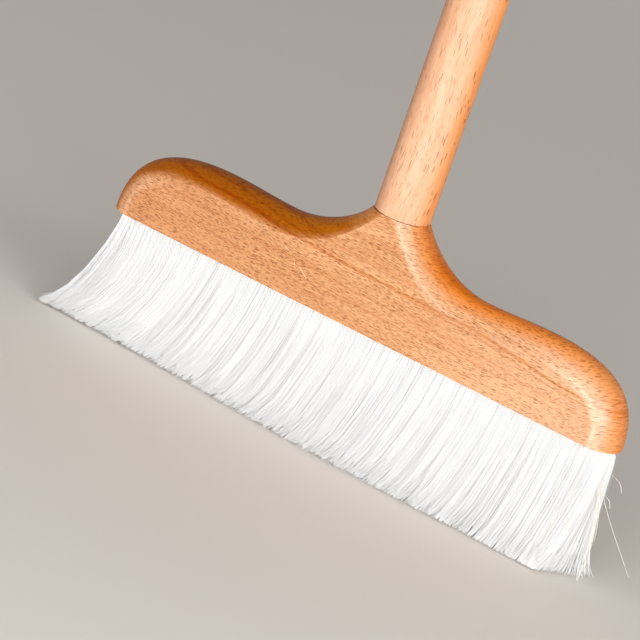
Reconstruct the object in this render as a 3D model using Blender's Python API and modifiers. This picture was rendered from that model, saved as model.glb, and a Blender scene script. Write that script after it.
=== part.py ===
"""Floor broom: a shaped beech head with drilled-in bristle tufts, on a beech handle that unscrews.

Metres, +Z up. The broom stands on its bristle tips at z = 0. The handle's axis is the Z axis, the
head's length runs along X, and the head's front face looks along -Y.
"""

import math

import bmesh
import bpy
from mathutils import Matrix, Vector

# Clearances and cutting
GAP = 0.0003
CUT_OVERRUN = 0.004

# Head block
BRISTLE_HEIGHT = 0.062
HEAD_LENGTH = 0.286
HEAD_THICKNESS = 0.0274
HEAD_EDGE_INSET = 0.0097
NECK_HEIGHT = 0.0575
NECK_FLAT_WIDTH = 0.0085
NECK_FLARE_ANGLE = math.radians(34)
NECK_FILLET_REACH = 0.041
SHOULDER_HEIGHT = 0.038
SHOULDER_DIP = 0.0014
CREST_INSET = 0.052

# How full the curves of the outline are, as shares of the reach of each curve
NECK_CURVE_SHARE = 0.38
SHOULDER_CURVE_SHARE = 0.35
END_CURVE_SHARE = 0.69

# Handle
HANDLE_RADIUS = 0.014
HANDLE_LENGTH = 1.15
HANDLE_TOP_ROUNDING = 0.009
HANDLE_FOOT_CHAMFER = 0.0006

# Hanger bolt between the handle and the head
STUD_RADIUS = 0.005
STUD_SCREW_LENGTH = 0.018
STUD_SCREW_CHAMFER = 0.0012
STUD_COLLAR_LENGTH = 0.004
STUD_WOOD_RADIUS = 0.0044
STUD_WOOD_LENGTH = 0.026
STUD_POINT_LENGTH = 0.006

# Insert nut in the neck
INSERT_WALL = 0.0021
INSERT_LENGTH = 0.02
INSERT_RIDGE_DEPTH = 0.0008
INSERT_RIDGE_COUNT = 5
INSERT_MOUTH_CHAMFER = 0.0009

# Bristle tufts, in two staggered rows of drilled holes
FRONT_TUFTS = 27
TUFT_HOLE_DEPTH = 0.011
TUFT_WEB = 0.0027
ROW_WEB = 0.003
FACE_WALL = 0.0046
END_WALL = 0.0057
END_FLARE = 0.014
END_FLARE_POWER = 2.6
ROW_FLARE = 0.0012

# Strands of a tuft: one in the middle and a ring around it, as shares of the tuft's radius or pitch
RING_STRANDS = 6
STRAND_SIDES = 3
ROOT_RING_SHARE = 0.64
ROOT_STRAND_SHARE = 0.33
TIP_RING_SHARES = (0.355, 0.42)
MIDDLE_HEIGHT_SHARE = 0.5
MIDDLE_SPREAD_SHARE = 0.4
MIDDLE_STRAND_SHARE = 0.15
TIP_STRAND_SHARE = 0.13

# Facets
FILLET_STEPS = 12
SHOULDER_STEPS = 5
END_STEPS = 14
EDGE_STEPS = 10
HANDLE_STEPS = 32
STUD_STEPS = 20
DOME_STEPS = 6
HOLE_STEPS = 12
PLUG_STEPS = 10
CREASE_ANGLE = math.radians(15)
WELD_DISTANCE = 0.00002

# Worked out from the sizes above
HALF_LENGTH = HEAD_LENGTH / 2
HALF_THICKNESS = HEAD_THICKNESS / 2
UNDERSIDE_Z = BRISTLE_HEIGHT
JOINT_Z = UNDERSIDE_Z + NECK_HEIGHT
INSERT_BORE_RADIUS = STUD_RADIUS + GAP
INSERT_RADIUS = INSERT_BORE_RADIUS + INSERT_WALL
TUFT_RUN = HEAD_LENGTH - 2 * END_WALL
HOLE_RADIUS = min(
    (TUFT_RUN - (FRONT_TUFTS - 1) * TUFT_WEB) / (2 * FRONT_TUFTS),
    (HEAD_THICKNESS - 2 * FACE_WALL - ROW_WEB) / 4,
)
TUFT_RADIUS = HOLE_RADIUS - GAP
LAST_TUFT_X = HALF_LENGTH - END_WALL - HOLE_RADIUS
TUFT_PITCH = 2 * LAST_TUFT_X / (FRONT_TUFTS - 1)
ROW_Y = ROW_WEB / 2 + HOLE_RADIUS


def new_collection(name):
    collection = bpy.data.collections.new(name)
    bpy.context.scene.collection.children.link(collection)
    return collection


def new_material(name, colour, roughness, metallic=0.0):
    material = bpy.data.materials.new(name)
    material.use_nodes = True
    shader = material.node_tree.nodes["Principled BSDF"]
    shader.inputs["Base Color"].default_value = (*colour, 1.0)
    shader.inputs["Roughness"].default_value = roughness
    shader.inputs["Metallic"].default_value = metallic
    return material


def new_object(name, bm, collection, material=None):
    """An object from a bmesh, in a collection, with its material."""
    mesh = bpy.data.meshes.new(name)
    bm.to_mesh(mesh)
    bm.free()
    if material is not None:
        mesh.materials.append(material)
    obj = bpy.data.objects.new(name, mesh)
    collection.objects.link(obj)
    return obj


def as_cutter(obj):
    obj.hide_render = True
    obj.display_type = "WIRE"
    return obj


def cut(target, cutter):
    modifier = target.modifiers.new(cutter.name, "BOOLEAN")
    modifier.operation = "DIFFERENCE"
    modifier.solver = "EXACT"
    modifier.object = cutter


def turned(name, profile, steps, collection, material=None):
    """A turned piece from a profile of (radius, height) points, its outer side from top to bottom."""
    bm = bmesh.new()
    points = [bm.verts.new((radius, 0.0, height)) for radius, height in profile]
    for upper, lower in zip(points, points[1:]):
        bm.edges.new((upper, lower))
    if profile[0][0] > 0.0:
        bm.edges.new((points[-1], points[0]))
    obj = new_object(name, bm, collection, material)
    screw = obj.modifiers.new("turning", "SCREW")
    screw.axis = "Z"
    screw.steps = steps
    screw.render_steps = steps
    screw.use_merge_vertices = True
    screw.merge_threshold = WELD_DISTANCE
    screw.use_smooth_shade = True
    return obj


def smoothstep(share):
    share = min(max(share, 0.0), 1.0)
    return share * share * (3.0 - 2.0 * share)


def bezier(ends, share):
    """A point of a cubic Bezier curve, and the direction in which it runs there."""
    start, first, second, end = ends
    rest = 1.0 - share
    point = (
        start * rest**3
        + first * 3.0 * rest**2 * share
        + second * 3.0 * rest * share**2
        + end * share**3
    )
    direction = (
        (first - start) * rest**2
        + (second - first) * 2.0 * rest * share
        + (end - second) * share**2
    )
    return point, direction.normalized()


def outline_curves():
    """The right half of the head's outline in X and Z: neck fillet, shoulder and rounded end."""
    neck = Vector((HANDLE_RADIUS, JOINT_Z))
    shoulder_z = UNDERSIDE_Z + SHOULDER_HEIGHT
    dip = Vector((HANDLE_RADIUS + NECK_FILLET_REACH, shoulder_z - SHOULDER_DIP))
    crest = Vector((HALF_LENGTH - CREST_INSET, shoulder_z))
    tip = Vector((HALF_LENGTH, UNDERSIDE_Z))
    along = Vector((1.0, 0.0))
    down = Vector((0.0, -1.0))
    flare = Vector((math.sin(NECK_FLARE_ANGLE), -math.cos(NECK_FLARE_ANGLE)))
    fillet_pull = NECK_CURVE_SHARE * NECK_FILLET_REACH
    shoulder_pull = SHOULDER_CURVE_SHARE * (crest.x - dip.x)
    end_run = END_CURVE_SHARE * CREST_INSET
    end_drop = END_CURVE_SHARE * SHOULDER_HEIGHT
    return (
        (neck, neck + flare * fillet_pull, dip - along * fillet_pull, dip),
        (dip, dip + along * shoulder_pull, crest - along * shoulder_pull, crest),
        (crest, crest + along * end_run, tip - down * end_drop, tip),
    )


def outline_stations():
    """Points along the outline with the direction into the wood and the depth of the rounded edge.

    At the joint the edge is as round as the handle, and it takes the head's own rounding by the
    end of the fillet.
    """
    fillet, shoulder, end = outline_curves()
    neck_inset = HANDLE_RADIUS - NECK_FLAT_WIDTH / 2
    level = Vector((-1.0, 0.0))
    stations = []
    for curve, steps in ((fillet, FILLET_STEPS), (shoulder, SHOULDER_STEPS), (end, END_STEPS)):
        first = 0 if curve is fillet else 1
        for step in range(first, steps + 1):
            share = step / steps
            point, direction = bezier(curve, share)
            inward = Vector((direction.y, -direction.x))
            blend = smoothstep(share) if curve is fillet else 1.0
            inward = level.lerp(inward, blend).normalized()
            inset = neck_inset + (HEAD_EDGE_INSET - neck_inset) * blend
            stations.append((point, inward, inset))
    return stations


def edge_arc(inset):
    """The rounded edge as an arc across the head's thickness: depth into the wood and Y."""
    radius = (inset**2 + HALF_THICKNESS**2) / (2 * inset)
    half_angle = math.asin(HALF_THICKNESS / radius)
    arc = []
    for step in range(EDGE_STEPS + 1):
        angle = half_angle * (2 * step / EDGE_STEPS - 1)
        arc.append((radius * (1 - math.cos(angle)), radius * math.sin(angle)))
    return arc


def head_half():
    """The right half of the solid head, open at the middle plane."""
    bm = bmesh.new()
    rows = []
    for point, inward, inset in outline_stations():
        row = []
        for depth, y in edge_arc(inset):
            place = point + inward * depth
            row.append(bm.verts.new((place.x, y, place.y)))
        rows.append(row)
    for upper, lower in zip(rows, rows[1:]):
        for step in range(EDGE_STEPS):
            bm.faces.new((upper[step], lower[step], lower[step + 1], upper[step + 1]))
    front_top = bm.verts.new((0.0, -HALF_THICKNESS, JOINT_Z))
    front_foot = bm.verts.new((0.0, -HALF_THICKNESS, UNDERSIDE_Z))
    back_top = bm.verts.new((0.0, HALF_THICKNESS, JOINT_Z))
    back_foot = bm.verts.new((0.0, HALF_THICKNESS, UNDERSIDE_Z))
    bm.faces.new([row[0] for row in rows] + [front_foot, front_top])
    bm.faces.new([row[-1] for row in reversed(rows)] + [back_top, back_foot])
    bm.faces.new(rows[0] + [back_top, front_top])
    bm.faces.new(list(reversed(rows[-1])) + [front_foot, back_foot])
    bmesh.ops.recalc_face_normals(bm, faces=bm.faces)
    for face in bm.faces:
        face.smooth = True
    return bm


def tuft_holes():
    """The blind holes in the underside, one for each tuft."""
    bm = bmesh.new()
    depth = TUFT_HOLE_DEPTH + CUT_OVERRUN
    middle_z = UNDERSIDE_Z + TUFT_HOLE_DEPTH - depth / 2
    for x, y in tuft_places():
        bmesh.ops.create_cone(
            bm,
            cap_ends=True,
            segments=HOLE_STEPS,
            radius1=HOLE_RADIUS,
            radius2=HOLE_RADIUS,
            depth=depth,
            matrix=Matrix.Translation((x, y, middle_z)),
        )
    return bm


def insert_hole_profile():
    """The blind bore for the insert nut, with room below it for the bolt's end."""
    radius = INSERT_RADIUS + GAP
    top = JOINT_Z + CUT_OVERRUN
    seat = JOINT_Z - INSERT_LENGTH - 2 * GAP
    return ((0.0, top), (radius, top), (radius, seat), (0.0, seat))


def tuft_places():
    """The places of the tufts: the front row, then the back row half a pitch inward at each end."""
    front = [(-LAST_TUFT_X + TUFT_PITCH * number, -ROW_Y) for number in range(FRONT_TUFTS)]
    back = [(x + TUFT_PITCH / 2, ROW_Y) for x, _ in front[:-1]]
    return front + back


def make_head(parts, cutters, wood):
    head = new_object("head_block", head_half(), parts, wood)
    mirror = head.modifiers.new("other_half", "MIRROR")
    mirror.use_axis[0] = True
    mirror.use_clip = True
    mirror.merge_threshold = WELD_DISTANCE
    holes = as_cutter(new_object("tuft_holes", tuft_holes(), cutters))
    bore = as_cutter(turned("insert_bore", insert_hole_profile(), STUD_STEPS, cutters))
    cut(head, holes)
    cut(head, bore)
    head.data.set_sharp_from_angle(angle=CREASE_ANGLE)
    return head


def make_insert(parts, metal):
    """The insert nut: a bored sleeve with coarse ridges that bite into the wood."""
    top = JOINT_Z - GAP
    bottom = top - INSERT_LENGTH
    pitch = (INSERT_LENGTH - 2 * INSERT_MOUTH_CHAMFER) / INSERT_RIDGE_COUNT
    root = INSERT_RADIUS - INSERT_RIDGE_DEPTH
    profile = [(INSERT_BORE_RADIUS + INSERT_MOUTH_CHAMFER, top), (root, top)]
    for ridge in range(INSERT_RIDGE_COUNT):
        ridge_top = top - INSERT_MOUTH_CHAMFER - pitch * ridge
        profile.append((root, ridge_top))
        profile.append((INSERT_RADIUS, ridge_top - pitch / 2))
    profile.append((root, bottom + INSERT_MOUTH_CHAMFER))
    profile.append((root, bottom))
    profile.append((INSERT_BORE_RADIUS, bottom))
    profile.append((INSERT_BORE_RADIUS, top - INSERT_MOUTH_CHAMFER))
    return turned("threaded_insert", profile, STUD_STEPS, parts, metal)


def handle_bore_depth():
    return STUD_COLLAR_LENGTH + STUD_WOOD_LENGTH + STUD_POINT_LENGTH + GAP


def make_handle(parts, wood, joint):
    """The round pole: a domed top, and a blind hole in its foot for the hanger bolt."""
    foot = GAP
    top = foot + HANDLE_LENGTH
    profile = []
    for step in range(DOME_STEPS + 1):
        angle = math.pi / 2 * step / DOME_STEPS
        radius = HANDLE_RADIUS - HANDLE_TOP_ROUNDING * (1 - math.sin(angle))
        profile.append((radius, top - HANDLE_TOP_ROUNDING * (1 - math.cos(angle))))
    profile.insert(0, (0.0, top))
    profile.append((HANDLE_RADIUS, foot + HANDLE_FOOT_CHAMFER))
    profile.append((HANDLE_RADIUS - HANDLE_FOOT_CHAMFER, foot))
    bore = max(STUD_RADIUS, STUD_WOOD_RADIUS) + GAP
    bore_top = foot + handle_bore_depth()
    profile.append((bore, foot))
    profile.append((bore, bore_top))
    profile.append((0.0, bore_top + bore / 2))
    handle = turned("handle", profile, HANDLE_STEPS, parts, wood)
    handle.parent = joint
    return handle


def make_stud(parts, metal, joint):
    """The hanger bolt: a machine screw below the joint, and a pointed wood screw in the handle."""
    collar_top = GAP + STUD_COLLAR_LENGTH
    point_foot = collar_top + STUD_WOOD_LENGTH
    profile = (
        (0.0, point_foot + STUD_POINT_LENGTH),
        (STUD_WOOD_RADIUS, point_foot),
        (STUD_WOOD_RADIUS, collar_top),
        (STUD_RADIUS, collar_top),
        (STUD_RADIUS, STUD_SCREW_CHAMFER - STUD_SCREW_LENGTH),
        (STUD_RADIUS - STUD_SCREW_CHAMFER, -STUD_SCREW_LENGTH),
        (0.0, -STUD_SCREW_LENGTH),
    )
    stud = turned("handle_stud", profile, STUD_STEPS, parts, metal)
    stud.parent = joint
    return stud


def spread_x(x):
    """Where a tuft that is rooted at x ends along the head: the ends of the brush flare out."""
    reach = abs(x) / LAST_TUFT_X
    return x + math.copysign(END_FLARE * reach**END_FLARE_POWER, x)


def strand_offsets():
    """Unit offsets of a tuft's strands from its middle."""
    offsets = [Vector((0.0, 0.0))]
    for number in range(RING_STRANDS):
        angle = math.tau * number / RING_STRANDS
        offsets.append(Vector((math.cos(angle), math.sin(angle))))
    return offsets


def strand_rings(x, y, offset):
    """The middle and radius of a strand at its root, halfway and at its tip on the floor."""
    root_middle = Vector((x, y))
    tip_middle = Vector((spread_x(x), y + math.copysign(ROW_FLARE, y)))
    tip_pitch = spread_x(x + TUFT_PITCH / 2) - spread_x(x - TUFT_PITCH / 2)
    middle_pitch = TUFT_PITCH + (tip_pitch - TUFT_PITCH) * MIDDLE_SPREAD_SHARE
    wide_share, deep_share = TIP_RING_SHARES
    tip_ring = Vector((wide_share * tip_pitch, deep_share * TUFT_PITCH))
    root = root_middle + offset * ROOT_RING_SHARE * TUFT_RADIUS
    tip = tip_middle + offset * tip_ring
    middle = root.lerp(tip, MIDDLE_SPREAD_SHARE)
    middle_z = UNDERSIDE_Z * (1 - MIDDLE_HEIGHT_SHARE)
    return (
        (root, UNDERSIDE_Z, ROOT_STRAND_SHARE * TUFT_RADIUS),
        (middle, middle_z, MIDDLE_STRAND_SHARE * middle_pitch),
        (tip, 0.0, TIP_STRAND_SHARE * tip_pitch),
    )


def ring_of(bm, middle, z, radius, sides):
    """A ring of points at one height, with its first point at the back."""
    ring = []
    for number in range(sides):
        angle = math.tau * number / sides + math.pi / 2
        x = middle.x + radius * math.cos(angle)
        y = middle.y + radius * math.sin(angle)
        ring.append(bm.verts.new((x, y, z)))
    return ring


def skin_between(bm, upper, lower):
    for number, vert in enumerate(upper):
        following = (number + 1) % len(upper)
        bm.faces.new((vert, lower[number], lower[following], upper[following]))


def edges_around(bm, ring):
    return [bm.edges.get((ring[number - 1], vert)) for number, vert in enumerate(ring)]


def make_tuft(name, x, y, parts, fibre):
    """A tuft: strands fused to the slice of packed fibre that fills the drilled hole."""
    bm = bmesh.new()
    middle = Vector((x, y))
    plug_top = ring_of(bm, middle, UNDERSIDE_Z + TUFT_HOLE_DEPTH - GAP, TUFT_RADIUS, PLUG_STEPS)
    plug_foot = ring_of(bm, middle, UNDERSIDE_Z, TUFT_RADIUS, PLUG_STEPS)
    skin_between(bm, plug_top, plug_foot)
    bm.faces.new(plug_top)
    open_edges = edges_around(bm, plug_foot)
    for offset in strand_offsets():
        rings = [ring_of(bm, *place, STRAND_SIDES) for place in strand_rings(x, y, offset)]
        for upper, lower in zip(rings, rings[1:]):
            skin_between(bm, upper, lower)
        bm.faces.new(rings[-1])
        open_edges += edges_around(bm, rings[0])
    bmesh.ops.triangle_fill(bm, use_beauty=True, edges=open_edges)
    bmesh.ops.recalc_face_normals(bm, faces=bm.faces)
    return new_object(name, bm, parts, fibre)


def make_tufts(parts, fibre):
    for number, (x, y) in enumerate(tuft_places()):
        if number < FRONT_TUFTS:
            name = f"tuft_front_{number + 1:02d}"
        else:
            name = f"tuft_back_{number + 1 - FRONT_TUFTS:02d}"
        make_tuft(name, x, y, parts, fibre)


def build():
    for obj in list(bpy.data.objects):
        bpy.data.objects.remove(obj)
    parts = new_collection("floor_broom")
    cutters = new_collection("floor_broom_cutters")
    head_wood = new_material("head_beech", (0.68, 0.35, 0.16), 0.42)
    handle_wood = new_material("handle_beech", (0.74, 0.42, 0.22), 0.42)
    zinc = new_material("zinc_plated_steel", (0.6, 0.6, 0.58), 0.35, 1.0)
    brass = new_material("brass", (0.72, 0.52, 0.24), 0.35, 1.0)
    fibre = new_material("white_fibre", (0.86, 0.85, 0.82), 0.6)
    joint = bpy.data.objects.new("handle_joint", None)
    joint.location = (0.0, 0.0, JOINT_Z)
    parts.objects.link(joint)
    make_head(parts, cutters, head_wood)
    make_insert(parts, brass)
    make_stud(parts, zinc, joint)
    make_handle(parts, handle_wood, joint)
    make_tufts(parts, fibre)


build()
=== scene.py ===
"""Looks of the floor broom: beech head and handle, threaded metal pieces and soft white bristles.

Metres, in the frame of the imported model: +Z up, the head's length along X, its front face to -Y.
"""

import math

import bpy
import numpy as np
from mathutils import Matrix, Vector


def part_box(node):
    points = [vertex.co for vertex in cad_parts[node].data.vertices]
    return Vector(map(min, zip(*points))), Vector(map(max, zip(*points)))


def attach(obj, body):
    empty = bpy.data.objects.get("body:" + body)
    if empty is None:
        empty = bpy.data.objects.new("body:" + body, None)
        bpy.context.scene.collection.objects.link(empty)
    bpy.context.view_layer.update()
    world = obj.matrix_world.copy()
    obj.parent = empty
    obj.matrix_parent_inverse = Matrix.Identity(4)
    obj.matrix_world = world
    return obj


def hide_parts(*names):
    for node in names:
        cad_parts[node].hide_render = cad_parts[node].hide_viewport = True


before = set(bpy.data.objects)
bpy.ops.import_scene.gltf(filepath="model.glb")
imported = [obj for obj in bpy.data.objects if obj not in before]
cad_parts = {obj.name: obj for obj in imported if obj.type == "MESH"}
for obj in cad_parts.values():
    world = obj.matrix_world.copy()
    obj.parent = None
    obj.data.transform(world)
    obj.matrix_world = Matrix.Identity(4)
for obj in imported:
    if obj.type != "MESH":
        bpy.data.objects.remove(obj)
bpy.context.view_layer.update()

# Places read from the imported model
HEAD_LOW, HEAD_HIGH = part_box("head_block")
HANDLE_LOW, HANDLE_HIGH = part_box("handle")
STUD_LOW, STUD_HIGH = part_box("handle_stud")
INSERT_LOW, INSERT_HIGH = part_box("threaded_insert")
UNDERSIDE_Z = HEAD_LOW.z
JOINT_Z = HEAD_HIGH.z
HALF_LENGTH = HEAD_HIGH.x
HALF_THICKNESS = HEAD_HIGH.y
HANDLE_RADIUS = HANDLE_HIGH.x

# Head outline, as in the solids
GAP = 0.0003
EDGE_INSET = 0.0097
NECK_FLAT_WIDTH = 0.0085
NECK_FLARE_ANGLE = math.radians(34)
NECK_FILLET_REACH = 0.041
SHOULDER_HEIGHT = 0.038
SHOULDER_DIP = 0.0014
CREST_INSET = 0.052
NECK_CURVE_SHARE, SHOULDER_CURVE_SHARE, END_CURVE_SHARE = 0.38, 0.35, 0.69
OUTLINE_STEPS = (40, 20, 48)

# Radius of the crease between the flat faces and the rounded edge, and where along the neck's and
# the end's curve it changes. A pair like this says from where and over which length.
CREASE_RADIUS, CREASE_RADIUS_NECK, CREASE_RADIUS_END = 0.0044, 0.0016, 0.0018
NECK_ROUNDING, END_ROUNDING = (0.3, 0.5), (0.25, 0.4)
CREASE_STEPS, ARC_STEPS = 8, 34
# Points of the flat face next to the crease: distance from it, and share of its painted highlight
FLAT_BAND = ((0.0028, 0.0), (0.0018, 0.30), (0.0009, 0.75), (0.0003, 1.0))
# Share of the painted highlight where the rounded edge begins, and how fast it fades from there
HIGHLIGHT_AT_ARC, HIGHLIGHT_FADE = 0.6, 2.8

# How much amber lacquer tone and painted shade lie on the rounded edge, by X; most on the left,
# where the edge faces away from the lamps
AMBER_AND_SHADE_BY_X = np.array([
    (-0.143, 0.85), (-0.13, 1.0), (-0.11, 1.0), (-0.026, 1.0), (-0.016, 0.6), (0.01, 0.6),
    (0.02, 0.75), (0.032, 1.0), (0.05, 1.0), (0.07, 0.94), (0.1, 0.84), (0.13, 0.64), (0.143, 0.6),
])
# From which share of the rounding the amber tone and painted shade begin, by X
RIM_START_BY_X = np.array([
    (-0.143, 0.54), (-0.128, 0.42), (-0.105, 0.32), (-0.08, 0.24), (-0.018, 0.1), (0.0, 0.1),
    (0.006, 0.66), (0.03, 0.6), (0.143, 0.6),
])
# Over how much of the rounding it builds up: right half, left half, and more of it near the neck
RIM_SPAN_RIGHT, RIM_SPAN_LEFT, RIM_SPAN_MORE = 0.38, 0.26, 0.14
RIM_SPAN_PLACE = (-0.085, 0.03)
# How strongly the crease is painted pale as a highlight, by X: mostly at the right end and the
# neck's right side
CREASE_HIGHLIGHT_BY_X = np.array([
    (-0.143, 0.3), (-0.132, 0.22), (-0.118, 0.1), (-0.11, 0.0), (0.005, 0.0), (0.01, 0.7),
    (0.022, 0.8), (0.036, 0.25), (0.055, 0.0), (0.095, 0.0), (0.118, 0.8), (0.143, 1.0),
])

# How far the neck's top edge closes the joint, and how far it is broken away on the left
NECK_CLOSE, NECK_BREAK = 0.00018, 0.0006
NECK_BREAK_PLACE = (0.004, 0.009)

# Tuft holes and insert bore
HOLE_RADIUS, HOLE_DEPTH, HOLE_SIDES = 0.003785, 0.011, 28
BORE_RADIUS, BORE_SIDES = 0.0077, 64
CUT_OVERRUN = 0.004
FRONT_TUFTS = 27
ROW_Y = 0.005285
END_WALL = 0.0057

# Handle
HANDLE_ROUNDING, ROUNDING_STEPS = 0.009, 16
HANDLE_CHAMFER, CHAMFER_STEPS = 0.00035, 4
HANDLE_BORE = 0.0053
HANDLE_SIDES, HANDLE_RINGS = 96, 24
TOP_RING = 0.0025

# Threads of the bolt and the nut
THREAD_PITCH, THREAD_CREST, THREAD_DEPTH = 0.0015, 0.005, 0.00092
THREAD_CLEARANCE, THREAD_RINGS = 0.0002, 14
STUD_SIDES, STUD_CHAMFER = 48, 0.0012
COLLAR_BELOW, COLLAR_ABOVE = 0.0016, 0.004
WOOD_PITCH, WOOD_ROOT, WOOD_CREST = 0.004, 0.0033, 0.0044
WOOD_POINT, WOOD_RINGS = 0.006, 150
INSERT_SIDES, INSERT_PITCH, INSERT_DEPTH, INSERT_FADE = 60, 0.0036, 0.0008, 0.0012
INSERT_MOUTH, INSERT_INSIDE, INSERT_FLARE = 0.0009, 0.0042, 0.0018
RINGS_OUTSIDE, RINGS_INSIDE = 110, 180

SHARP_ANGLE = math.radians(30)
THREAD_SHARP_ANGLE = math.radians(34)
TINY = 0.00001

# Tones of the wood in sRGB (whole, dark, light), and its flecks (length, width, shift, share)
HEAD_TONES = ((206, 147, 99), (188, 126, 78), (217, 164, 118))
HEAD_FLECKS = ((0.0042, 0.00056, 3.3, 0.31), (0.0034, 0.00050, 6.6, 0.27))
HANDLE_TONES = ((213, 147, 96), (200, 128, 76), (222, 163, 116))
HANDLE_FLECKS = ((0.0100, 0.00066, 3.3, 0.22), (0.0080, 0.00058, 6.6, 0.15))
FLECK_DEPTH = 0.007
# How far the grain sways, and from which X and how strongly it climbs
GRAIN_SWAY = 0.012
CLIMB_FROM, CLIMB = 0.055, 1.1
# How the amber lacquer tone tints the wood right of the neck, and with painted shade left of the
# neck and along the rounding's middle
SHADED_AMBER_LEFT = (0.58, 0.33, 0.01, 1.0)
AMBER_RIGHT = (1.26, 0.66, 0.03, 1.0)
SHADED_AMBER_MIDDLE = (0.74, 0.62, 0.40, 1.0)
# Direction in X and Y of the handle's painted highlight, and the colours of that painted highlight,
# of the painted shade on its left and of the painted light on its right
HIGHLIGHT_SIDE = (0.208, -0.978)
HIGHLIGHT_TONE = (1.04, 1.27, 1.74, 1.0)
SHADE_LEFT_TONE = (0.52, 0.36, 0.18, 1.0)
LIGHT_RIGHT_TONE = (1.26, 0.97, 0.40, 1.0)

# Pale scuffs on the head's front face: middle X and Z, half length, half width, turn in degrees
SCUFFS = (
    (-0.0385, 0.0785, 0.0050, 0.00020, -62.0),
    (-0.0325, 0.0760, 0.0048, 0.00024, -34.0),
    (-0.0445, 0.0835, 0.0030, 0.00022, -20.0),
    (-0.1285, 0.0825, 0.0026, 0.00022, 18.0),
    (-0.1260, 0.0845, 0.0020, 0.00018, -8.0),
    (0.0840, 0.0735, 0.0026, 0.00018, -25.0),
)
# Growth lines of the head's faces: Z at X = 0, slope, bend per metre, half width, strength
GROWTH_LINES = (
    (0.0900, -0.010, -0.42, 0.00120, 0.85),
    (0.0905, -0.085, 0.00, 0.00080, 0.55),
    (0.0965, -0.020, -0.50, 0.00090, 0.45),
    (0.0800, -0.015, -0.25, 0.00090, 0.35),
    (0.0735, 0.010, -0.20, 0.00080, 0.30),
)
GROWTH_WANDER = 0.005

# Bristles: numbers, thickness and shape of the strands
SEED = 11
STRANDS, END_STRANDS = 380, 760
STRAND_SIDES, STRAND_RADIUS = 3, 0.00016
TAPER, TAPER_FROM, TAPER_RUN = 0.4, 0.8, 0.2
ROOT_RISE, ROOT_RADIUS = 0.003, HOLE_RADIUS * 0.93
CELL_SHARE, SKIN_POWER = 0.55, 1.9
ROWS_CROSS, TIPS_CROSS = 0.0003, 0.0012
OPENING, REACH_CURVE = 0.05, 1.25
# Height shares of the rings along a strand, and of those of the packed core
STRAND_LEVELS = (-ROOT_RISE / UNDERSIDE_Z, 0.0, 0.03, 0.1, 0.3, 0.55, 0.78, 0.93, 1.0)
CORE_LEVELS = (
    -ROOT_RISE / UNDERSIDE_Z, 0.0, 0.03, 0.1, 0.2, 0.32, 0.45, 0.58, 0.7, 0.8, 0.88, 0.93, 0.965,
)

# Disorder of the strands: sway, bow, how much more at the left end, shortness and tint
STRAND_SWAY, STRAND_BOW, UNRULY_LEFT = 0.00030, 0.00016, 1.8
SHORTNESS = (1.2, 0.00025)
TINTS = (1.3, 3.2)

# Packed core of a tuft: columns, width, depth behind the front, disorder and uneven lower edge
CORE_SIDE, CORE_FLANK = 32, 10
CORE_WIDTH, CORE_END_WIDTH = 1.12, 0.66
CORE_SKIN = 0.07
CORE_SWAY, CORE_BOW = 0.00012, 0.00006
CORE_RAGGED, CORE_RAGGED_MOST = (1.3, 0.0007), 0.004
CORE_TOOTH = 0.0007
CORE_EDGE = 0.96

# Fine locks that the tips join: size, shortness, notch between two, pull and splay
LOCK_WIDTH, LOCK_DEPTH = 0.00078, 0.0009
LOCK_SHORTNESS, LOCK_NOTCH = 0.0004, 0.0030
LOCK_PULL, LOCK_FROM, LOCK_RUN = 0.45, 0.55, 0.45
SPLAY_MOST, FRINGE = 0.0030, 0.0040

# Where the tips lie against the roots along the head, in millimetres: root X, then the tips' sweep
# in X, reach to the front, reach to the back and height over the floor
FIELD = np.array([
    (-138, -115, -90, -60, -30, 10, 60, 90, 115, 130, 142),
    (-23.5, -25, -22, -17, -13, -12, -12, -8.5, -5, -2, -3),
    (8.6, 8.6, 10.4, 13.4, 17, 21, 23.8, 23.8, 24, 24, 24),
    (11, 12.5, 14, 15, 16.5, 18, 19, 19.5, 20, 20, 19),
    (0.9, 0.7, 0.4, 0.2, 0.1, 0.05, 0.05, 0.05, 0.05, 0.05, 0.05),
]).T * 0.001
# How late the sweep sets in along a strand, and how that changes to the left: amount, -X, length
SWEEP_CURVE = 1.6
SWEEP_CURVE_LEFT = ((0.8, 0.08, 0.05), (-0.95, 0.126, 0.012))
# Extra sweep in X of the right end's tips, by their Y, in millimetres, and where it sets in
END_SWEEP = np.array([(-25, -6), (-13, 1), (-5, 7.5), (0, 7.5), (10, 5), (19, 1)]) * 0.001
END_SWEEP_PLACE = (0.112, 0.03)
# How much further the outermost tufts open towards their end: front row and back row
RIGHT_WIDENING = (0.0032, 0.0060)
LEFT_WIDENING = (-0.0048, 0.0003)
# Furthest X and Y of a strand, inside the room round the solids
FURTHEST_X, FURTHEST_Y = 0.1722, 0.0244

# Waves that draw the strands together in locks: length along X, shift in X, shift in Y, phase, lean
# of the phase with Y, in millimetres and radians
LOCK_WAVES = (
    (23.0, 0.40, 0.40, 0.4, 0.10),
    (11.3, 0.30, 0.35, 2.1, 0.22),
    (6.7, 0.20, 0.25, 4.4, 0.31),
    (4.1, 0.12, 0.18, 1.3, 0.45),
    (2.3, 0.06, 0.10, 5.2, 0.70),
)

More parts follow.
